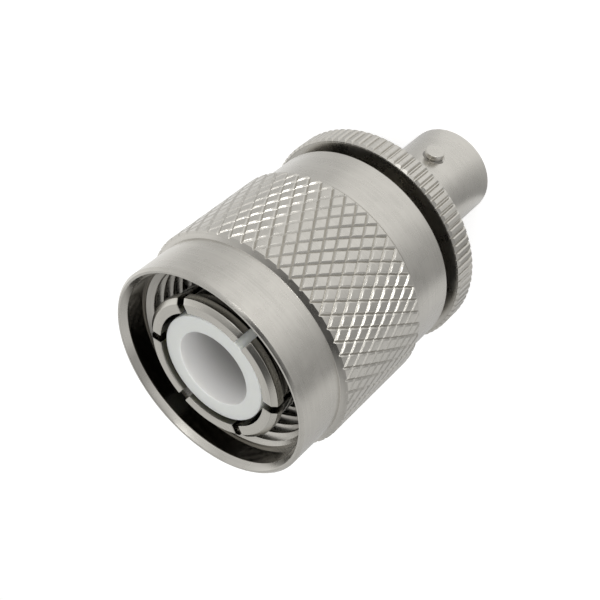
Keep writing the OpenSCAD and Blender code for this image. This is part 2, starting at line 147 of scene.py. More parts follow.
def panels(tree, direction):
    """The brightness of the panel in a direction from the axis, whatever its height, and that height."""
    x, y, z = add(tree, "ShaderNodeSeparateXYZ", {0: direction}).node.outputs
    angle = add(tree, "ShaderNodeMath", {0: y, 1: x}, operation="ARCTAN2")
    turn = add(tree, "ShaderNodeMapRange", {"Value": angle, "From Min": -math.pi, "From Max": math.pi})
    level = add(tree, "ShaderNodeFloatCurve", {"Value": turn})
    curve = level.node.mapping.curves[0]
    spots = [((degrees + 180) / 360, shine / BRIGHTEST) for degrees, shine in PANELS]
    for spot in spots[1:-1]:
        curve.points.new(*spot)
    curve.points[0].location = spots[0]
    curve.points[-1].location = spots[-1]
    level.node.mapping.update()
    return add(tree, "ShaderNodeMath", {0: level, 1: BRIGHTEST}, operation="MULTIPLY"), z


print("panels:", len(PANELS) - 1)

# %% [markdown]
# ## World
# The world answers every ray that leaves the stage. A ray from the camera gets plain white, as in the
# photograph's background. A matt surface gets an even grey, so that the plastic isn't striped. Only a ray
# that the plating mirrors gets the tent: the panels, a roof that darkens overhead, and round cards that
# stand for the darker and lighter spots mirrored in the rim, the collar and the finger tips.

# %% World
EVEN_LEVEL = 0.45
ROOF_FROM, ROOF_TO, ROOF_LEVEL = 0.65, 0.95, 0.5
# Azimuth, elevation, inner and outer angle in degrees, factor on the brightness
CARDS = [(-75, 72, 22, 35, 0.28), (-134, 65, 3, 12, 0.4), (-30, 86, 2, 10, 0.7), (-22, 51, 7, 17, 0.15),
         (155, 35, 18, 40, 0.66), (5, 44, 3, 9, 3.0)]

world = bpy.data.worlds.new("tent")
bpy.context.scene.world = world
world.use_nodes = True
tent = world.node_tree
tent.nodes.clear()
ray = add(tent, "ShaderNodeLightPath").node.outputs
direction = add(tent, "ShaderNodeTexCoord", out="Generated")
around, height = panels(tent, direction)
roof = add(tent, "ShaderNodeMapRange", {"Value": height, "From Min": ROOF_FROM, "From Max": ROOF_TO,
                                        "To Min": 1.0, "To Max": ROOF_LEVEL})
mirrored = add(tent, "ShaderNodeMath", {0: around, 1: roof}, operation="MULTIPLY")
for azimuth, elevation, inner, outer, factor in CARDS:
    nearness = add(tent, "ShaderNodeVectorMath", {0: direction, 1: toward(azimuth, elevation)},
                   out="Value", operation="DOT_PRODUCT")
    card = add(tent, "ShaderNodeMapRange", {"Value": nearness, "From Min": math.cos(math.radians(outer)),
                                            "From Max": math.cos(math.radians(inner)),
                                            "To Min": 1.0, "To Max": factor},
               interpolation_type="SMOOTHSTEP")
    mirrored = add(tent, "ShaderNodeMath", {0: mirrored, 1: card}, operation="MULTIPLY")
light = add(tent, "ShaderNodeMix", {0: ray["Is Glossy Ray"], 2: EVEN_LEVEL, 3: mirrored}, data_type="FLOAT")
plain = add(tent, "ShaderNodeMath", {0: ray["Is Camera Ray"], 1: ray["Is Transmission Ray"]},
            operation="MAXIMUM")
strength = add(tent, "ShaderNodeMix", {0: plain, 2: light, 3: 1.0}, data_type="FLOAT")
backdrop = add(tent, "ShaderNodeBackground", {"Color": WHITE, "Strength": strength})
add(tent, "ShaderNodeOutputWorld", {"Surface": backdrop})
print("world nodes:", len(tent.nodes))

# %% [markdown]
# ## Floor
# The adapter stands on white card. A shadow catcher would need compositing, so the floor is a diffuse white
# with a little glow, which renders as white and still keeps the shadow. The plating sees the panels'
# brightness there instead, because a white floor would wash out the bands on the barrel.

# %% Floor
FLOOR_SIZE = 3
FLOOR_PAINT, FLOOR_GLOW = 0.85, 0.58

floor_white = bpy.data.materials.new("floor_white")
floor_white.use_nodes = True
tree = floor_white.node_tree
tree.nodes.clear()
paint = add(tree, "ShaderNodeBsdfDiffuse", {"Color": (FLOOR_PAINT, FLOOR_PAINT, FLOOR_PAINT, 1)})
glow = add(tree, "ShaderNodeEmission", {"Color": WHITE, "Strength": FLOOR_GLOW})
card = add(tree, "ShaderNodeAddShader", {0: paint, 1: glow})
around, height = panels(tree, add(tree, "ShaderNodeNewGeometry", out="Position"))
mirrored = add(tree, "ShaderNodeEmission", {"Color": WHITE, "Strength": around})
glossy = add(tree, "ShaderNodeLightPath", out="Is Glossy Ray")
both = add(tree, "ShaderNodeMixShader", {0: glossy, 1: card, 2: mirrored})
add(tree, "ShaderNodeOutputMaterial", {"Surface": both})

bpy.ops.mesh.primitive_plane_add(size=FLOOR_SIZE)
floor = bpy.context.object
floor.name = "floor"
floor.data.materials.append(floor_white)
floor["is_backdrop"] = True
print("floor", tuple(floor.dimensions))

# %% [markdown]
# ## Soft boxes
# Two lamps add what the tent can't. A long, low box stands in front of the knurl and lights the sides of
# its diamonds, which gives the row of glints. It leaves the matt pieces alone. A high box lights only those
# matt pieces, the plastic above all, and isn't mirrored, because the tent already shades the plating.

# %% Soft boxes
LAMP_AIM_Z = 27


def soft_box(name, azimuth, elevation, distance, wide, tall, watts):
    """A rectangular lamp that faces the middle of the part, from millimetres and degrees."""
    lamp = bpy.data.lights.new(name, "AREA")
    lamp.shape = "RECTANGLE"
    lamp.size, lamp.size_y = wide * MM, tall * MM
    lamp.energy = watts
    light = new_object(name, lamp)
    back = toward(azimuth, elevation)
    light.location = (back * distance + Vector((0, 0, LAMP_AIM_Z))) * MM
    light.rotation_mode = "QUATERNION"
    light.rotation_quaternion = back.to_track_quat("Z", "Y")
    light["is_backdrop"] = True
    return light


glints = soft_box("box_glint", azimuth=-12, elevation=-2.5, distance=280, wide=130, tall=28, watts=0.075)
glints.visible_diffuse = False
matt = soft_box("box_matt", azimuth=-25, elevation=50, distance=240, wide=120, tall=120, watts=0.3)
matt.visible_glossy = False
print("two soft boxes")

# %% [markdown]
# ## Turned finish
# All metal and plastic pieces here were cut on a lathe. The tool leaves fine rings round the axis, the
# plating over them is slightly mottled, and the grain is finer still. A picture of scratches would need
# unwrapped meshes. Noise does the same without: one of its axes is the radius plus the height, so it makes
# rings on a barrel as well as on a flat face. Real tool marks are about 0.05 mm apart. They would be lost
# in the render, so they are drawn 0.11 mm apart.

# %% Turned finish
RINGS_PER_MM = 9.0
STREAKS = 1.6  # noise cells in each radian of a ring
MOTTLE_PER_MM, GRAIN_PER_MM = 0.6, 7.0
NOISE_LOW, NOISE_HIGH = 0.3, 0.7  # where nearly all of the noise lies
ROUGH_SPREAD = 0.15
BUMP_MM, BUMP_STRENGTH = 0.01, 0.5


def turned(name, code, roughness, metal=1.0, rings=0.25, grain=0.5, spread=0.06, soft=0.0, seep=None):
    """A turned surface. Rings and grain are bump heights, spread is how far the mottling goes in colour,
    soft is the share of light that scatters inside, and seep is what glow_through() takes."""
    mat = bpy.data.materials.new(name)
    mat.use_nodes = True
    tree = mat.node_tree
    tree.nodes.clear()
    spot = add(tree, "ShaderNodeTexCoord", out="Object")
    mm = add(tree, "ShaderNodeVectorMath", {0: spot, 3: 1 / MM}, operation="SCALE")
    x, y, z = add(tree, "ShaderNodeSeparateXYZ", {0: mm}).node.outputs
    flat = add(tree, "ShaderNodeCombineXYZ", {0: x, 1: y})
    radius = add(tree, "ShaderNodeVectorMath", {0: flat}, out="Value", operation="LENGTH")
    spin = add(tree, "ShaderNodeMath", {0: STREAKS, 1: radius}, operation="DIVIDE")
    around = add(tree, "ShaderNodeVectorMath", {0: flat, 3: spin}, operation="SCALE")
    reach = add(tree, "ShaderNodeMath", {0: radius, 1: z}, operation="ADD")
    across = add(tree, "ShaderNodeMath", {0: reach, 1: RINGS_PER_MM}, operation="MULTIPLY")
    lift = add(tree, "ShaderNodeCombineXYZ", {2: across})
    ringed = add(tree, "ShaderNodeVectorMath", {0: around, 1: lift}, operation="ADD")
    marks = add(tree, "ShaderNodeTexNoise", {"Vector": ringed, "Scale": 1.0, "Detail": 3.0,
                                             "Roughness": 0.6})
    mottle = add(tree, "ShaderNodeTexNoise", {"Vector": mm, "Scale": MOTTLE_PER_MM, "Detail": 4.0,
                                              "Roughness": 0.55})
    fine = add(tree, "ShaderNodeTexNoise", {"Vector": mm, "Scale": GRAIN_PER_MM, "Detail": 2.0,
                                            "Roughness": 0.5})
    wear = add(tree, "ShaderNodeMath", {0: marks, 1: mottle}, operation="ADD")
    shade = add(tree, "ShaderNodeMapRange", {"Value": wear, "From Min": 2 * NOISE_LOW,
                                             "From Max": 2 * NOISE_HIGH,
                                             "To Min": 1 - spread, "To Max": 1 + spread})
    tint = add(tree, "ShaderNodeVectorMath", {0: colour(code)[:3], 3: shade}, operation="SCALE")
    rough = add(tree, "ShaderNodeMapRange", {"Value": mottle, "From Min": NOISE_LOW, "From Max": NOISE_HIGH,
                                             "To Min": roughness * (1 - ROUGH_SPREAD),
                                             "To Max": roughness * (1 + ROUGH_SPREAD)})
    ring_relief = add(tree, "ShaderNodeMath", {0: marks, 1: rings}, operation="MULTIPLY")
    relief = add(tree, "ShaderNodeMath", {0: fine, 1: grain, 2: ring_relief}, operation="MULTIPLY_ADD")
    bump = add(tree, "ShaderNodeBump", {"Height": relief, "Strength": BUMP_STRENGTH,
                                        "Distance": BUMP_MM * MM})
    skin = add(tree, "ShaderNodeBsdfPrincipled", {"Base Color": tint, "Roughness": rough,
                                                  "Metallic": metal, "Normal": bump})
    if soft:
        scatter_inside(skin.node, soft)
    if seep:
        glow_through(tree, skin.node, z, tint, *seep)
    add(tree, "ShaderNodeOutputMaterial", {"Surface": skin})
    return mat


print("rings", round(1 / RINGS_PER_MM, 2), "mm apart")

# %% [markdown]
# ## Light inside the plastic
# The insulating sleeve is PTFE, a white and waxy plastic. Light goes in, scatters for about a millimetre
# and comes out again, and down the bore it fades with depth. Subsurface scattering gives the wax. For the
# bore, more samples of true scattering would be slow and noisy, so a fade with the height does it: it
# darkens the colour below, and adds a weak glow near the mouth, where light comes through the wall.

# %% Light inside the plastic
SCATTER_MM = 1.0
SCATTER_COLOUR = (1.0, 1.0, 0.9)


def scatter_inside(skin, share):
    """Light goes into the piece and comes out a little further on."""
    skin.inputs["Subsurface Weight"].default_value = share
    skin.inputs["Subsurface Radius"].default_value = SCATTER_COLOUR
    skin.inputs["Subsurface Scale"].default_value = SCATTER_MM * MM


def glow_through(tree, skin, height, tint, low, top, glow, darkest):
    """Between two heights, the colour rises from its darkest share to full, and the glow from nothing."""
    levels = {"Value": height, "From Min": low, "From Max": top}
    dim = add(tree, "ShaderNodeMapRange", levels | {"To Min": darkest, "To Max": 1.0},
              interpolation_type="SMOOTHSTEP")
    lit = add(tree, "ShaderNodeMapRange", levels | {"To Min": 0.0, "To Max": glow},
              interpolation_type="SMOOTHSTEP")
    deep = add(tree, "ShaderNodeVectorMath", {0: tint, 3: dim}, operation="SCALE")
    tree.links.new(deep, skin.inputs["Base Color"])
    tree.links.new(lit, skin.inputs["Emission Strength"])
    skin.inputs["Emission Color"].default_value = WHITE


print("light scatters over", SCATTER_MM, "mm")

# %% [markdown]
# ## The finishes
# Nine materials use that one surface. Each starts from a typical colour and roughness for the real
# material, and was then matched to the photograph. Metals keep the default IOR. The darker nickel
# is painted shade for the deep and inner faces.

# %% The finishes
# The fade's lowest and highest height, the glow at the top, and the share of the colour left at the bottom
BORE_FADE = (33.6, 38.8, 0.14, 0.42)
FINISH = {
    # Satin nickel plate on turned brass: warm grey, with soft reflections and visible mottling
    "nut_nickel": turned("nut_nickel", "#C6C3BC", 0.28, spread=0.1),
    "body_nickel": turned("body_nickel", "#C6C3BC", 0.28, spread=0.1),
    # The same plate on the sawn spring sleeve, a little brighter and more even
    "contact_nickel": turned("contact_nickel", "#C8C5BD", 0.25),
    # Smooth nickel with clear reflections, whose darker colour is painted shade on the inner and deep faces
    "painted_shade_nickel": turned("painted_shade_nickel", "#8A8781", 0.13),
    # Gold plate on the centre contacts: deep yellow and bright
    "contact_gold": turned("contact_gold", "#D9B15E", 0.22),
    # Rolled phosphor bronze of the retaining ring: reddish and dull, with no plate
    "ring_bronze": turned("ring_bronze", "#C28B52", 0.35),
    # Turned PTFE: white, waxy and soft to the light, with faint tool marks
    "ptfe": turned("ptfe", "#DCDEDA", 0.42, metal=0.0, rings=0.4, spread=0.015, soft=0.8),
    # The same plastic down the bore, where the light fades with depth
    "ptfe_bore": turned("ptfe_bore", "#DAD9D7", 0.42, metal=0.0, rings=0.4, spread=0.015, soft=0.8,
                        seep=BORE_FADE),
    # Moulded silicone rubber of the gasket: dark grey and matt, with no rings
    "gasket_silicone": turned("gasket_silicone", "#4A4742", 0.6, metal=0.0, rings=0.0),
}
print("finishes:", ", ".join(FINISH))

# %% [markdown]
# ## Turned shells
# What comes off a lathe is a section carried round the axis. Blender's Screw and Bevel modifiers could do
# that, but the nut's section changes with the angle because of its thread. So one function makes a mesh
# from a grid of points, and another carries a plain section round. Corners get small rounds in the
# section, because a real edge is never sharp and catches the light.

# %% Sections
ROUND_STEPS = 4


def rounded(corners):
    """Corners are (radius, height) or (radius, height, round). Each round becomes a short curve."""
    points = []
    for k, corner in enumerate(corners):
        here = np.array(corner[:2], float)
        size = corner[2] if len(corner) > 2 else 0
        if not size:
            points.append(tuple(here))
            continue
        before, after = (np.array(corners[(k + d) % len(corners)][:2], float) for d in (-1, 1))
        start = here + (before - here) / np.linalg.norm(before - here) * size
        end = here + (after - here) / np.linalg.norm(after - here) * size
        for u in np.linspace(0, 1, ROUND_STEPS + 1):
            points.append(tuple((1 - u) ** 2 * start + 2 * u * (1 - u) * here + u ** 2 * end))
    return points


def grid_mesh(name, points, wrap_columns=True):
    """A mesh from points[column][row], in millimetres. Each column is closed."""
    columns, rows = points.shape[:2]
    c = np.arange(columns if wrap_columns else columns - 1)
    c, r = (m.ravel() for m in np.meshgrid(c, np.arange(rows), indexing="ij"))
    c2, r2 = (c + 1) % columns, (r + 1) % rows
    faces = np.stack([c * rows + r, c2 * rows + r, c2 * rows + r2, c * rows + r2], axis=1)
    mesh = bpy.data.meshes.new(name)
    mesh.from_pydata((points.reshape(-1, 3) * MM).tolist(), [], faces.tolist())
    return mesh


print("a square with one round corner has", len(rounded([(0, 0), (1, 0, 0.2), (1, 1), (0, 1)])), "points")

# %% [markdown]
# ## From a mesh to a piece
# A raw grid has doubled points on the axis and faces that may look inwards. Each mesh is cleaned, shaded
# smooth except over its edges, and given its finish. Then the piece is told which body of the adapter it
# moves with, and the CAD solid that it stands for is hidden.

# %% Pieces
MERGE, THIN = 2e-8, 1e-8
SHARP = 35  # degrees


def shade_edges(mesh, degrees=SHARP):
    """Smooth shading that stops at edges sharper than an angle."""
    mesh.shade_smooth()
    mesh.set_sharp_from_angle(angle=math.radians(degrees))


def finish_mesh(name, mesh, slot):
    """Merges doubled points, turns the faces outward and gives the mesh its finish."""
    bm = bmesh.new()
    bm.from_mesh(mesh)
    bmesh.ops.remove_doubles(bm, verts=bm.verts, dist=MERGE)
    bmesh.ops.dissolve_degenerate(bm, edges=bm.edges, dist=THIN)
    bmesh.ops.recalc_face_normals(bm, faces=bm.faces)
    bm.to_mesh(mesh)
    bm.free()
    shade_edges(mesh)
    mesh.materials.clear()
    mesh.materials.append(FINISH[slot])
    return new_object(name, mesh)


def place(piece, body, slot, *stands_for):
    """Ties a finished piece to its body and hides the CAD node that it stands for. The slot is not used."""
    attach(piece, body)
    if stands_for:
        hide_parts(*stands_for)
    triangles = sum(len(p.vertices) - 2 for p in piece.data.polygons)
    print(f"{piece.name}: {triangles} triangles on {body}")
    return piece


def recoat(piece, slot, inside):
    """Some of the faces get a second finish. The test takes a face's radius and height."""
    piece.data.materials.append(FINISH[slot])
    for polygon in piece.data.polygons:
        x, y, z = polygon.center / MM
        polygon.material_index = int(inside(math.hypot(x, y), z))


def lathe(name, section, slot, columns=192):
    """A closed section carried right round the axis."""
    angle = np.arange(columns) * 2 * math.pi / columns
    sec = np.array(section, float)
    points = np.stack([np.outer(np.cos(angle), sec[:, 0]), np.outer(np.sin(angle), sec[:, 0]),
                       np.tile(sec[:, 1], (columns, 1))], axis=2)
    return finish_mesh(name, grid_mesh(name, points), slot)


print("edges stay sharp from", SHARP, "degrees")

# %% [markdown]
# ## Thread of the coupling nut
# The nut is screwed on by hand, so it has an inner thread of 20 turns to the inch. Rings instead of a
# helix would look alike from afar, but the photograph looks right into the nut. Here each column of the
# grid holds the thread's profile shifted up by its share of the pitch. Rows that pass either end are held
# at that end, and a short cone opens the first and the last turn, so that the mating thread finds its way.

# %% Thread
PITCH, CREST_R, ROOT_R = 1.27, 8.9, 9.55
THREAD_LOW, THREAD_HIGH = 28.1, 36.5
MOUTH_CONE, END_CONE = 0.55, 0.6
# Height within a pitch and radius, from the middle of a crest to the middle of a root
HALF = [(0, CREST_R), (0.11, CREST_R), (0.15, CREST_R + 0.02), (0.19, CREST_R + 0.075),
        (0.345, CREST_R + 0.345), (0.5, ROOT_R - 0.037), (0.53, ROOT_R), (PITCH / 2, ROOT_R)]
PROFILE = HALF + [(PITCH - s, r) for s, r in HALF[-2:0:-1]]


def thread_rows(angle):
    """Radius and height of the thread's surface at one angle, from the low end to the high end."""
    turns = np.arange(math.floor(THREAD_LOW / PITCH) - 2, math.ceil(THREAD_HIGH / PITCH) + 2)
    rise = PITCH * angle / (2 * math.pi)
    along = np.array([k * PITCH + s for k in turns for s, r in PROFILE])
    z = np.clip(along + rise, THREAD_LOW, THREAD_HIGH)
    heights = [s for s, r in PROFILE] + [PITCH]
    radius = np.interp((z - rise) % PITCH, heights, [r for s, r in PROFILE] + [CREST_R])
    mouth = CREST_R + np.maximum(z - (THREAD_HIGH - MOUTH_CONE), 0)
    end = CREST_R + np.maximum(THREAD_LOW + END_CONE - z, 0)
    return np.maximum(radius, np.maximum(mouth, end)), z


print("thread", CREST_R * 2, "mm across its crests,", PITCH, "mm pitch")

# %% [markdown]
# ## Coupling nut
# From the rim down, the outside has a plain collar, a steep shoulder, the band that carries the knurl, and
# a plain rear band. Inside are a chamfered mouth, a relief, the thread, a hollow, and the groove for the
# retaining ring. The section and the thread's rows make one closed grid, so the shell has no seam between
# them. The relief in the mouth, the rear face and the faces below the thread get painted shade: the darker
# nickel.

# %% Coupling nut
BAND_R, COLLAR_R, KNURL_R, GROOVE_R = 10.65, 10.6, 11.2, 11.04
BORE_R, RELIEF_R, MOUTH_R, RING_R = 8.8, 9.75, 10.15, 9.45
NUT_Z, RIM_Z = 17.3, 39.2
MOUTH_DEPTH, RIM_EDGE, REAR_EDGE = 0.65, 0.23, 0.22
SHOULDER_LOW, SHOULDER_HIGH = 33.88, 34.1
REAR_SLOPE_LOW, REAR_SLOPE_HIGH = 22.35, 22.78
RING_LOW, RING_HIGH = 18.48, 19.42
HOLLOW_LOW, HOLLOW_HIGH = 25.4, 27.85
CLOSE, PLATED_LIP = 0.02, 0.6
COLUMNS = 256

outside = rounded([
    (RELIEF_R, THREAD_HIGH, 0.05), (RELIEF_R, RIM_Z - MOUTH_DEPTH, 0.08), (MOUTH_R, RIM_Z, 0.04),
    (COLLAR_R - RIM_EDGE, RIM_Z, 0.02), (COLLAR_R, RIM_Z - RIM_EDGE, 0.02),
    (COLLAR_R, SHOULDER_HIGH, 0.04), (GROOVE_R, SHOULDER_LOW), (GROOVE_R, REAR_SLOPE_HIGH),
    (BAND_R, REAR_SLOPE_LOW, 0.1), (BAND_R, NUT_Z + REAR_EDGE, 0.12), (BAND_R - REAR_EDGE, NUT_Z, 0.12),
    (BORE_R, NUT_Z, 0.1), (BORE_R, RING_LOW), (RING_R, RING_LOW), (RING_R, RING_HIGH),
    (BORE_R, RING_HIGH), (BORE_R, HOLLOW_LOW), (RELIEF_R, HOLLOW_LOW), (RELIEF_R, HOLLOW_HIGH)])
columns = []
for angle in np.linspace(0, 2 * math.pi, COLUMNS + 1):
    r, z = thread_rows(angle)
    r = np.concatenate([[p[0] for p in outside], r])
    z = np.concatenate([[p[1] for p in outside], z])
    columns.append(np.stack([r * math.cos(angle), r * math.sin(angle), z], axis=1))
nut = finish_mesh("nut_shell", grid_mesh("nut_shell", np.array(columns), wrap_columns=False), "nut_nickel")


def in_painted_shade(r, z):
    """Where the nut gets painted shade: the relief in the mouth, the rear face, and all that lies below the
    thread.
    """
    relief = abs(r - RELIEF_R) < CLOSE and z < RIM_Z - PLATED_LIP
    rear_face = z < NUT_Z + CLOSE
    return relief or rear_face or (r < RELIEF_R and z < THREAD_LOW)


# The nut's inner faces get painted shade, the darker nickel.
recoat(nut, "painted_shade_nickel", in_painted_shade)
place(nut, "nut", "nut_nickel", "coupling_nut")

# %% [markdown]
# ## Rows of equal shapes round the axis
# The knurl's diamonds, the flange's teeth and the contact's fingers all repeat round the axis. An Array
# modifier needs an empty to turn its copies and can't stagger its rows. One Geometry Nodes tree does all
# three: it counts out points, finds each point's row and its place in the row, lifts it, turns it, and
# copies the shape there. The shape is modelled once, at its true radius on +X.

# %% Tree for rows
rows_tree = bpy.data.node_groups.new("rows_round_the_axis", "GeometryNodeTree")
face = rows_tree.interface
for title, kind in [("Shape", "NodeSocketObject"), ("Around", "NodeSocketInt"), ("Rows", "NodeSocketInt"),
                    ("First Height", "NodeSocketFloat"), ("Row Height", "NodeSocketFloat"),
                    ("Turn", "NodeSocketFloat"), ("Stagger", "NodeSocketFloat"),
                    ("Finish", "NodeSocketMaterial")]:
    face.new_socket(title, in_out="INPUT", socket_type=kind)
face.new_socket("Geometry", in_out="OUTPUT", socket_type="NodeSocketGeometry")

given = add(rows_tree, "NodeGroupInput").node.outputs
index = add(rows_tree, "GeometryNodeInputIndex")
count = add(rows_tree, "ShaderNodeMath", {0: given["Around"], 1: given["Rows"]}, operation="MULTIPLY")
# The row is the whole part of (index + a half) / around, safe from rounding
centred = add(rows_tree, "ShaderNodeMath", {0: index, 1: 0.5}, operation="ADD")
share = add(rows_tree, "ShaderNodeMath", {0: centred, 1: given["Around"]}, operation="DIVIDE")
row = add(rows_tree, "ShaderNodeMath", {0: share}, operation="FLOOR")
passed = add(rows_tree, "ShaderNodeMath", {0: row, 1: given["Around"]}, operation="MULTIPLY")
step = add(rows_tree, "ShaderNodeMath", {0: index, 1: passed}, operation="SUBTRACT")
# Every second row is shifted by the stagger, as a share of one step
odd = add(rows_tree, "ShaderNodeMath", {0: row, 1: 2.0}, operation="MODULO")
shifted = add(rows_tree, "ShaderNodeMath", {0: odd, 1: given["Stagger"], 2: step}, operation="MULTIPLY_ADD")
part = add(rows_tree, "ShaderNodeMath", {0: shifted, 1: given["Around"]}, operation="DIVIDE")
angle = add(rows_tree, "ShaderNodeMath", {0: part, 1: 2 * math.pi, 2: given["Turn"]},
            operation="MULTIPLY_ADD")
high = add(rows_tree, "ShaderNodeMath", {0: row, 1: given["Row Height"], 2: given["First Height"]},
           operation="MULTIPLY_ADD")

# %% [markdown]
# The second half of the tree sets the copies. Instances are light, but the export drops them, so the tree
# ends by making them real and by giving them their finish.

# %% Tree for rows, second half
spot = add(rows_tree, "ShaderNodeCombineXYZ", {2: high})
spin = add(rows_tree, "ShaderNodeCombineXYZ", {2: angle})
turn = add(rows_tree, "FunctionNodeEulerToRotation", {0: spin})
dots = add(rows_tree, "GeometryNodePoints", {"Count": count, "Position": spot})
shape = add(rows_tree, "GeometryNodeObjectInfo", {"Object": given["Shape"], "As Instance": True},
            out="Geometry")
copies = add(rows_tree, "GeometryNodeInstanceOnPoints", {"Points": dots, "Instance": shape,
                                                         "Rotation": turn})
solid = add(rows_tree, "GeometryNodeRealizeInstances", {"Geometry": copies})
coated = add(rows_tree, "GeometryNodeSetMaterial", {"Geometry": solid, "Material": given["Finish"]})
add(rows_tree, "NodeGroupOutput", {"Geometry": coated})
print("tree inputs:", [i.name for i in face.items_tree if i.in_out == "INPUT"])

# %% [markdown]
# ## Using the tree
# A modifier runs the tree on an empty mesh. Its inputs are set by their identifiers, which never repeat,
# while names may. The evaluated result is copied to a plain mesh, and the modifier goes with its holder.

# %% Use of the tree
def set_rows(shape, slot, around, rows=1, first=0.0, height=0.0, turn=0.0, stagger=0.0):
    """Runs the tree on one shape and returns the copies as a plain mesh."""
    holder = new_object("rows", bpy.data.meshes.new("rows"))
    modifier = holder.modifiers.new("rows", "NODES")
    modifier.node_group = rows_tree
    values = {"Shape": shape, "Around": around, "Rows": rows, "First Height": first * MM,
              "Row Height": height * MM, "Turn": math.radians(turn), "Stagger": stagger,
              "Finish": FINISH[slot]}
    for item in face.items_tree:
        if item.in_out == "INPUT":
            modifier[item.identifier] = values[item.name]
    bpy.context.view_layer.update()
    evaluated = holder.evaluated_get(bpy.context.evaluated_depsgraph_get())
    made = bpy.data.meshes.new_from_object(evaluated)
    bpy.data.objects.remove(holder)
    return made


def as_piece(name, meshes, slot):
    """Several meshes as one piece with one finish."""
    bm = bmesh.new()
    for m in meshes:
        bm.from_mesh(m)
    mesh = bpy.data.meshes.new(name)
    bm.to_mesh(mesh)
    bm.free()
    mesh.materials.clear()
    mesh.materials.append(FINISH[slot])
    return new_object(name, mesh)


print("identifiers:", [i.identifier for i in face.items_tree if i.in_out == "INPUT"])

# %% [markdown]
# ## Shapes that stand up from a cylinder
# A diamond or a tooth has walls that lean in towards a flat top with a small round edge. A Bevel modifier
# rounds such a shape unevenly where its corners are sharp. Here the outline itself is drawn in, level by
# level, while it is bent round the axis. The lowest level is sunk, so that no gap shows at the foot.

# %% Raised shapes
SUNK = 0.08
RAISED_SHARP = 40
ON_PLANE = 1e-9  # how near a corner counts as lying on a cutting plane, in metres


def trim(bm, cuts):
    """Each cut is (radius, height, radial part, axial part): a slanting plane that trims what is beyond."""
    for r, z, out, up in cuts:
        everything = bm.verts[:] + bm.edges[:] + bm.faces[:]
        bmesh.ops.bisect_plane(bm, geom=everything, dist=ON_PLANE, plane_co=(r * MM, 0, z * MM),
                               plane_no=(out, 0, up), clear_outer=True)
        bmesh.ops.holes_fill(bm, edges=[e for e in bm.edges if e.is_boundary], sides=0)


def raised(name, outline, low_r, top_r, flat, edge, cuts=(), ends_lean=True):
    """A shape on a cylinder from an outline in millimetres, round and along. Flat is the top's share of
    the outline, edge the height of its round edge. Without ends_lean, only the sides are drawn in."""
    lean = (1 - flat) * edge / (top_r - low_r)
    # Radius and share of the outline: sunk foot, foot, top of the wall, and three levels of the round edge
    levels = [(low_r - SUNK, 1.0), (low_r, 1.0), (top_r - edge, flat + lean),
              (top_r - edge * 0.28, flat - edge * 0.35), (top_r, flat - edge * 1.1), (top_r, flat - edge * 3)]
    bm = bmesh.new()
    rings = []
    for r, size in levels:
        ring = []
        for s, z in np.array(outline, float):
            a = s * size / top_r
            high = z * size if ends_lean else z
            ring.append(bm.verts.new((r * math.cos(a) * MM, r * math.sin(a) * MM, high * MM)))
        rings.append(ring)
    for low, up in zip(rings, rings[1:]):
        for k in range(len(low)):
            m = (k + 1) % len(low)
            bm.faces.new((low[k], low[m], up[m], up[k]))
    bm.faces.new(list(reversed(rings[0])))
    bm.faces.new(rings[-1])
    trim(bm, cuts)
    bmesh.ops.recalc_face_normals(bm, faces=bm.faces)
    mesh = bpy.data.meshes.new(name)
    bm.to_mesh(mesh)
    bm.free()
    shade_edges(mesh, RAISED_SHARP)
    return new_object(name, mesh)


print("raised shapes are sunk by", SUNK, "mm")

# %% [markdown]
# ## Diamond knurl
# The grip is rolled with two wheels, whose crossed ridges leave diamonds. A bump map would stay flat on the
# outline, and two sets of cut grooves would be slow. Rows of diamonds, each half a diamond round from the
# last, give the same pattern, and the gaps between them are the grooves. The two end rows are trimmed by
# the slopes that lead up to the knurl.

# %% Diamond knurl
KNURL_Z, KNURL_TOP = 22.95, 33.8
AROUND, ROWS = 54, 10
FLAT, EDGE = 0.72, 0.03
FRONT_SLOPE, REAR_SLOPE = (0.447, 0.894), (0.737, -0.676)

wide = math.pi * KNURL_R / AROUND
tall = (KNURL_TOP - KNURL_Z) / ROWS
diamond = [(wide, 0), (wide * 0.5, tall * 0.5), (0, tall), (-wide * 0.5, tall * 0.5),
           (-wide, 0), (-wide * 0.5, -tall * 0.5), (0, -tall), (wide * 0.5, -tall * 0.5)]
whole = raised("diamond", diamond, GROOVE_R, KNURL_R, FLAT, EDGE)
front = raised("diamond_front", diamond, GROOVE_R, KNURL_R, FLAT, EDGE, [(KNURL_R, 0, *FRONT_SLOPE)])
rear = raised("diamond_rear", diamond, GROOVE_R, KNURL_R, FLAT, EDGE, [(KNURL_R, 0, *REAR_SLOPE)])
half_turn = 180 / AROUND
rows = [
    set_rows(rear, "nut_nickel", AROUND, first=KNURL_Z),
    set_rows(whole, "nut_nickel", AROUND, ROWS - 1, KNURL_Z + tall, tall, turn=half_turn, stagger=0.5),
    set_rows(front, "nut_nickel", AROUND, first=KNURL_TOP)]
place(as_piece("nut_knurl", rows, "nut_nickel"), "nut", "nut_nickel")
for shape in (whole, front, rear):
    bpy.data.objects.remove(shape)

# %% [markdown]
# ## Rear body
# The bayonet barrel, the core of the grip flange and the spigot that goes into the front body are turned
# from one bar. One section carried round the axis makes them. The bores inside hold the centre contact and
# its plastic bead, so they are modelled too and can be looked into.

# %% Barrel and flange
TOOTH_R, FOOT_R = 11.2, 11.0
BARREL_R, BARREL_BORE_R, MOUTH_FACE_R = 4.825, 4.05, 4.2
MOUTH_ROUND, MOUTH_CHAMFER = 0.5, 0.15
FLANGE_LOW, FLANGE_HIGH, FLANGE_EDGE = 13.7, 16.1, 0.1
SPIGOT_R, SPIGOT_TOP = 6.2, 19.6
BEAD_R, BEAD_LOW = 3.22, 9.2
STEM_R, STEM_LOW = 2.395, 8.4

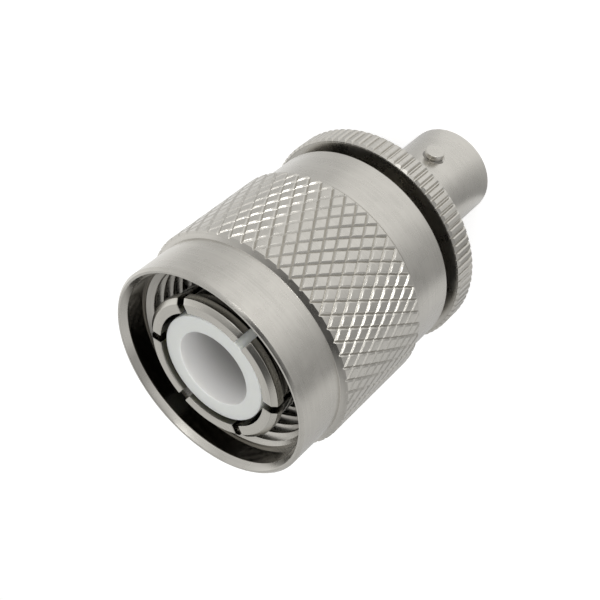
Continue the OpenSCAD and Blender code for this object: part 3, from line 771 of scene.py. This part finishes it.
rear_section = rounded([
    (BARREL_BORE_R, MOUTH_CHAMFER, 0.05), (MOUTH_FACE_R, 0, 0.05), (BARREL_R, 0, MOUTH_ROUND),
    (BARREL_R, FLANGE_LOW, 0.06), (FOOT_R - FLANGE_EDGE, FLANGE_LOW, 0.05),
    (FOOT_R, FLANGE_LOW + FLANGE_EDGE, 0.05), (FOOT_R, FLANGE_HIGH - FLANGE_EDGE, 0.05),
    (FOOT_R - FLANGE_EDGE, FLANGE_HIGH, 0.05), (SPIGOT_R, FLANGE_HIGH), (SPIGOT_R, SPIGOT_TOP),
    (BEAD_R, SPIGOT_TOP), (BEAD_R, BEAD_LOW), (STEM_R, BEAD_LOW), (STEM_R, STEM_LOW),
    (BARREL_BORE_R, STEM_LOW)])
place(lathe("rear_shell", rear_section, "body_nickel"), "body", "body_nickel", "rear_body")

# %% [markdown]
# ## Teeth of the flange
# The flange is gripped while the nut is turned, so its edge has a straight knurl of 88 teeth. The tree for
# rows sets them in one row. Their ends are trimmed by a 45 degree chamfer, as the real flange's are, and
# only their sides lean in.

# %% Flange teeth
TEETH = 88
TOOTH_HALF, TOOTH_MIDDLE_Z, TOOTH_EDGE = 1.2, 14.9, 0.22
TOOTH_FOOT, TOOTH_FLAT = 0.9, 0.52
TOOTH_INSET, TOOTH_ROUND = 0.02, 0.05
DIAGONAL = 0.707

foot = math.pi * TOOTH_R / TEETH * TOOTH_FOOT
tooth_outline = [(foot, -TOOTH_HALF), (foot, 0), (foot, TOOTH_HALF),
                 (-foot, TOOTH_HALF), (-foot, 0), (-foot, -TOOTH_HALF)]
chamfers = [(TOOTH_R, TOOTH_HALF - TOOTH_EDGE, DIAGONAL, DIAGONAL),
            (TOOTH_R, TOOTH_EDGE - TOOTH_HALF, DIAGONAL, -DIAGONAL)]
tooth = raised("tooth", tooth_outline, FOOT_R - TOOTH_INSET, TOOTH_R, TOOTH_FLAT, TOOTH_ROUND, chamfers,
               ends_lean=False)
teeth = [set_rows(tooth, "body_nickel", TEETH, first=TOOTH_MIDDLE_Z)]
place(as_piece("flange_teeth", teeth, "body_nickel"), "body", "body_nickel")
bpy.data.objects.remove(tooth)

# %% [markdown]
# ## Bayonet lugs
# Two round lugs run in the mating plug's ramps and lock it. They are milled from the barrel's solid, so
# each has a soft foot and a small round at its top. A lug is a little lathe shape of its own, laid over
# onto +X or -X. On the flange's side, the hollow at its foot gets painted shade, the darker nickel.

# %% Lugs
LUG_R, LUG_TOP, LUG_Z = 0.975, 5.5, 5.1
LUG_FOOT_R, LUG_SUNK, LUG_FOOT, LUG_WAIST = 1.2, 4.3, 4.66, 4.9
LUG_SHADE_R = 5.15

lug_section = rounded([(0, LUG_SUNK), (LUG_FOOT_R, LUG_SUNK), (LUG_FOOT_R, LUG_FOOT),
                       (LUG_R, LUG_WAIST, 0.12), (LUG_R, LUG_TOP, 0.1), (0, LUG_TOP)])
for name, side in (("lug_a", 1), ("lug_b", -1)):
    lug = lathe(name, lug_section, "body_nickel", columns=64)
    lug.data.transform(Matrix.Translation((0, 0, LUG_Z * MM)) @ Matrix.Rotation(side * math.pi / 2, 4, "Y"))
    # Painted shade at the lug's foot on the flange's side.
    recoat(lug, "painted_shade_nickel", lambda r, z: r < LUG_SHADE_R and z > LUG_Z)
    place(lug, "body", "body_nickel")

# %% [markdown]
# ## Base of the outer contact
# The outer contact is a spring sleeve: a thick base, from which six fingers rise. Only a little of the base
# shows between the slots. It is a plain lathe shape, and all of it gets painted shade, the darker nickel,
# as it lies deep in the nut.

# %% Contact base
CONTACT_Z, SLOT_Z, TIP_Z = 20.4, 29.25, 38.25
BASE_R, BASE_BORE_R, WAIST_R = 7.4, 5.75, 6.95
BASE_TOP, WAIST_LOW = 27.2, 27.65

base_section = rounded([(BASE_BORE_R, CONTACT_Z), (BASE_R, CONTACT_Z), (BASE_R, BASE_TOP, 0.05),
                        (WAIST_R, WAIST_LOW), (WAIST_R, SLOT_Z), (BASE_BORE_R, SLOT_Z)])
base = lathe("contact_base", base_section, "contact_nickel", columns=144)
# The whole base gets painted shade.
recoat(base, "painted_shade_nickel", lambda r, z: True)
place(base, "body", "contact_nickel", "outer_contact")

# %% [markdown]
# ## Fingers of the outer contact
# A saw cuts the six slots, so their walls are parallel and each finger narrows by the same width at every
# radius. Equal wedges would look wrong at the tips. One finger is a grid that keeps half a slot's width
# clear on each side. Its edges get a small bevel, and the tree for rows sets it six times. The tips keep
# the plain finish, while the stems below them get painted shade, the darker nickel.

# %% Fingers
FINGERS, SLOT_HALF, SLOT_TURN = 6, 0.425, 36
FINGER_Z, FINGER_IN, TIP_IN, STEM_OUT, BEAD_OUT, TIP_OUT = 38.55, 5.8, 5.83, 6.85, 7.2, 6.74
BEAD_FOOT, BEAD_START, TIP_BEVEL = 37.1, 37.45, 0.36
STRIPS = 25
BEVEL_MM, BEVEL_FROM = 0.035, 60
STEM_SHADE_Z = 37.4

finger_section = np.array(rounded([
    (FINGER_IN, SLOT_Z), (STEM_OUT, SLOT_Z), (STEM_OUT, BEAD_FOOT, 0.2), (BEAD_OUT, BEAD_START, 0.1),
    (BEAD_OUT, FINGER_Z - TIP_BEVEL, 0.05), (TIP_OUT, FINGER_Z, 0.05), (TIP_IN, FINGER_Z, 0.06)]))
r, z = finger_section[:, 0], finger_section[:, 1]
strips = []
for u in np.linspace(-1, 1, STRIPS):
    a = u * (math.pi / FINGERS - np.arcsin(SLOT_HALF / r))
    strips.append(np.stack([r * np.cos(a), r * np.sin(a), z], axis=1))
mesh = grid_mesh("finger", np.array(strips), wrap_columns=False)
bm = bmesh.new()
bm.from_mesh(mesh)
bmesh.ops.holes_fill(bm, edges=[e for e in bm.edges if e.is_boundary], sides=0)
bmesh.ops.recalc_face_normals(bm, faces=bm.faces)
rims = [e for e in bm.edges if e.calc_face_angle(0) > math.radians(BEVEL_FROM)]
bmesh.ops.bevel(bm, geom=rims, offset=BEVEL_MM * MM, segments=2, affect="EDGES", profile=0.5)
bm.to_mesh(mesh)
bm.free()
shade_edges(mesh)
finger = new_object("finger", mesh)
copies = set_rows(finger, "contact_nickel", FINGERS, turn=SLOT_TURN + 180 / FINGERS)
fingers = as_piece("contact_fingers", [copies], "contact_nickel")
# The stems below the tips get painted shade.
recoat(fingers, "painted_shade_nickel", lambda r, z: z < STEM_SHADE_Z)
place(fingers, "body", "contact_nickel")
bpy.data.objects.remove(finger)

# %% [markdown]
# ## Front insulator
# A white PTFE sleeve fills the outer contact and guides the mating jack's insulator in its bore, with the
# male pin at the bottom. It is one lathe shape with a stepped bore. The bore's faces take the finish whose
# light fades with depth.

# %% Sleeve
SLEEVE_R, SLEEVE_TIP_R, GUIDE_R = 5.73, 5.4, 3.77
SEAT_R, SEAT_TOP, PIN_R = 2.02, 21.2, 1.2
GUIDE_LOW, TIP_STEP = 27.25, 27.53
BORE_SHADE_R = 3.8

sleeve_section = rounded([
    (SEAT_R, SPIGOT_TOP), (SLEEVE_R, SPIGOT_TOP), (SLEEVE_R, BASE_TOP), (SLEEVE_TIP_R, TIP_STEP),
    (SLEEVE_TIP_R, TIP_Z, 0.08), (GUIDE_R, TIP_Z, 0.08), (GUIDE_R, GUIDE_LOW, 0.1), (PIN_R, GUIDE_LOW),
    (PIN_R, SEAT_TOP), (SEAT_R, SEAT_TOP)])
sleeve = lathe("sleeve", sleeve_section, "ptfe", columns=144)
recoat(sleeve, "ptfe_bore", lambda r, z: r < BORE_SHADE_R)
place(sleeve, "body", "ptfe", "front_insulator")

# %% [markdown]
# ## CAD nodes that are shown as they are
# The other six pieces lie deep inside and hardly show, so the CAD's own meshes are fine enough. They only
# get their finishes: gold for the centre contacts, bronze for the ring, and so on. The front body, seen in
# the gap below the nut, gets painted shade, the darker nickel.

# %% Inner parts
# The front body's darker nickel is painted shade.
SHOWN = {"retaining_ring": "ring_bronze", "gasket": "gasket_silicone", "front_body": "painted_shade_nickel",
         "male_pin": "contact_gold", "rear_insulator": "ptfe", "socket_contact": "contact_gold"}
for name, slot in SHOWN.items():
    nodes[name].data.materials.clear()
    nodes[name].data.materials.append(FINISH[slot])
print("CAD nodes shown:", ", ".join(SHOWN))

# %% [markdown]
# ## Size
# The looks must not change the adapter's size. The box of the finished pieces is printed in millimetres.

# %% Size
low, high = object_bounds()
print("size in mm:", [round((b - a) / MM, 2) for a, b in zip(low, high)])
